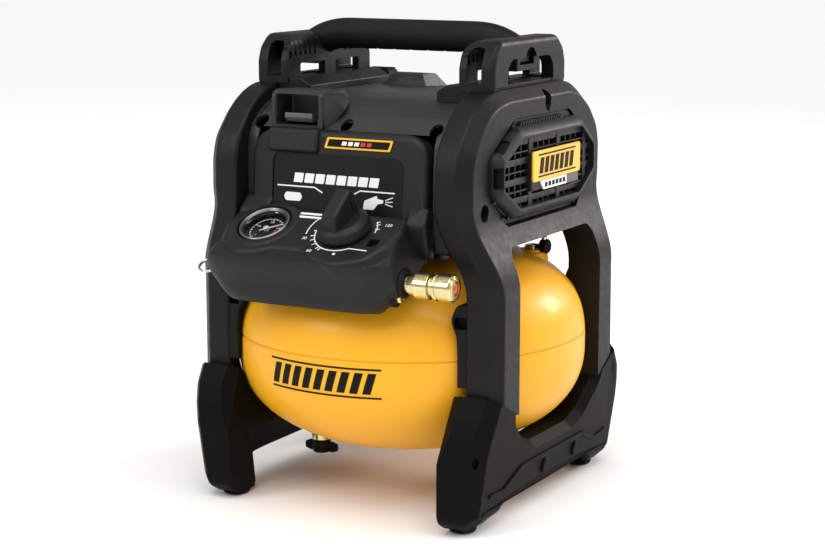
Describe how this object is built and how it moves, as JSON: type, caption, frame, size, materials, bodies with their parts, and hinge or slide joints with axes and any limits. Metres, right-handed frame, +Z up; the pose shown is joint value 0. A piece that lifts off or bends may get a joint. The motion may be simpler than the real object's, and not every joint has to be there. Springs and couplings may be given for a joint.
{
  "type": "pancake air compressor",
  "caption": "Portable pancake air compressor: flat round tank in a moulded roll cage, with carry handle, pressure gauge, regulator knob and quick coupler.",
  "frame": {"origin": "bottom centre of the bounding box, on the floor under the rubber feet", "axes": "+Z up, the control panel faces -Y, +X to the right as seen from the front"},
  "size_m": [0.3118, 0.3298, 0.4154],
  "materials": {
    "tank_paint": "gloss yellow powder coat",
    "cage_plastic": "fine-grained black moulding",
    "panel_plastic": "satin dark grey moulding",
    "label_black": "printed label film",
    "trim_yellow": "printed yellow label",
    "rubber_black": "matt black rubber",
    "rocker_grey": "grey moulding",
    "brass_plain": "turned brass",
    "steel_bright": "bright steel",
    "steel_dark": "dark coated steel",
    "cast_alloy": "die-cast alloy",
    "copper_tube": "drawn copper",
    "board_green": "circuit board lacquer",
    "valve_orange": "orange moulding",
    "lens_clear": "clear moulded lens"
  },
  "bodies": {
    "cage": {"tank_upper_shell": "tank_paint", "tank_lower_shell": "tank_paint", "right_side_frame": "cage_plastic", "left_side_frame": "cage_plastic", "right_base_rail": "cage_plastic", "left_base_rail": "cage_plastic", "right_handle_bracket": "cage_plastic", "left_handle_bracket": "cage_plastic", "carry_handle": "cage_plastic", "right_vent_grille": "panel_plastic", "left_vent_grille": "panel_plastic", "top_shroud": "panel_plastic", "rear_shroud": "panel_plastic", "control_panel": "panel_plastic", "gauge_dial": "label_black", "control_label": "label_black", "terminal_block": "label_black", "pressure_switch": "label_black", "right_badge": "trim_yellow", "left_badge": "trim_yellow", "accent_strip": "trim_yellow", "foot_front_right": "rubber_black", "foot_front_left": "rubber_black", "foot_rear_right": "rubber_black", "foot_rear_left": "rubber_black", "tank_mount_front_right": "rubber_black", "tank_mount_front_left": "rubber_black", "tank_mount_rear_right": "rubber_black", "tank_mount_rear_left": "rubber_black", "handle_grip": "rubber_black", "coupler_collar": "rubber_black", "regulator_body": "brass_plain", "coupler_body": "brass_plain", "safety_valve_body": "brass_plain", "drain_valve_body": "brass_plain", "port_fitting": "brass_plain", "check_valve": "brass_plain", "gauge_bezel": "steel_bright", "gauge_case": "steel_dark", "pump_deck": "steel_dark", "motor_stator": "steel_dark", "crankcase": "cast_alloy", "cylinder": "cast_alloy", "cylinder_head": "cast_alloy", "delivery_tube": "copper_tube", "control_board": "board_green", "gauge_lens": "lens_clear"},
    "regulator_knob": {"regulator_knob": "panel_plastic"},
    "gauge_needle": {"gauge_needle": "valve_orange"},
    "power_rocker": {"power_rocker": "rocker_grey"},
    "release_button": {"release_button": "rubber_black"},
    "coupler_sleeve": {"coupler_sleeve": "brass_plain"},
    "coupler_valve": {"coupler_valve": "valve_orange"},
    "safety_valve_stem": {"safety_valve_stem": "steel_bright"},
    "safety_pull_ring": {"safety_pull_ring": "steel_bright"},
    "drain_valve_handle": {"drain_valve_handle": "rubber_black"},
    "rotor": {"motor_rotor": "steel_bright", "crank_disc": "steel_bright", "cooling_fan": "label_black"},
    "piston": {"piston": "cast_alloy"}
  },
  "joints": [
    {"name": "regulator_turn", "type": "hinge", "parent": "cage", "child": "regulator_knob", "pos_m": [0.02, -0.14288, 0.2572], "axis": [0, -0.4848, 0.8746], "range_deg": [-130, 150]},
    {"name": "needle_swing", "type": "hinge", "parent": "cage", "child": "gauge_needle", "pos_m": [-0.0593, -0.13997, 0.25195], "axis": [0, -0.4848, 0.8746], "range_deg": [-77, 193]},
    {"name": "rocker_tilt", "type": "hinge", "parent": "cage", "child": "power_rocker", "pos_m": [-0.046, -0.0965, 0.3354], "axis": [1, 0, 0], "range_deg": [0, 12]},
    {"name": "release_press", "type": "slide", "parent": "cage", "child": "release_button", "axis": [0, 0, -1], "range_m": [0, 0.003], "stiffness_N_per_m": 600, "springref_m": -0.0005},
    {"name": "sleeve_slide", "type": "slide", "parent": "cage", "child": "coupler_sleeve", "axis": [-1, 0, 0], "range_m": [0, 0.0035], "stiffness_N_per_m": 900, "springref_m": -0.001},
    {"name": "plug_valve_slide", "type": "slide", "parent": "cage", "child": "coupler_valve", "axis": [-1, 0, 0], "range_m": [0, 0.005], "stiffness_N_per_m": 500, "springref_m": -0.001},
    {"name": "safety_pull", "type": "slide", "parent": "cage", "child": "safety_valve_stem", "axis": [-1, 0, 0], "range_m": [0, 0.003], "stiffness_N_per_m": 1500, "springref_m": -0.002},
    {"name": "ring_swing", "type": "hinge", "parent": "safety_valve_stem", "child": "safety_pull_ring", "pos_m": [-0.1066, -0.137, 0.21], "axis": [0, 1, 0], "range_deg": [-60, 60]},
    {"name": "drain_turn", "type": "hinge", "parent": "cage", "child": "drain_valve_handle", "pos_m": [-0.078, -0.021, 0.027], "axis": [0, 0, 1], "range_deg": [0, 180]},
    {"name": "shaft_spin", "type": "hinge", "parent": "cage", "child": "rotor", "pos_m": [0, 0.021, 0.278], "axis": [1, 0, 0], "continuous": true},
    {"name": "piston_stroke", "type": "slide", "parent": "cage", "child": "piston", "axis": [0, 0, 1], "range_m": [-0.016, 0]}
  ]
}
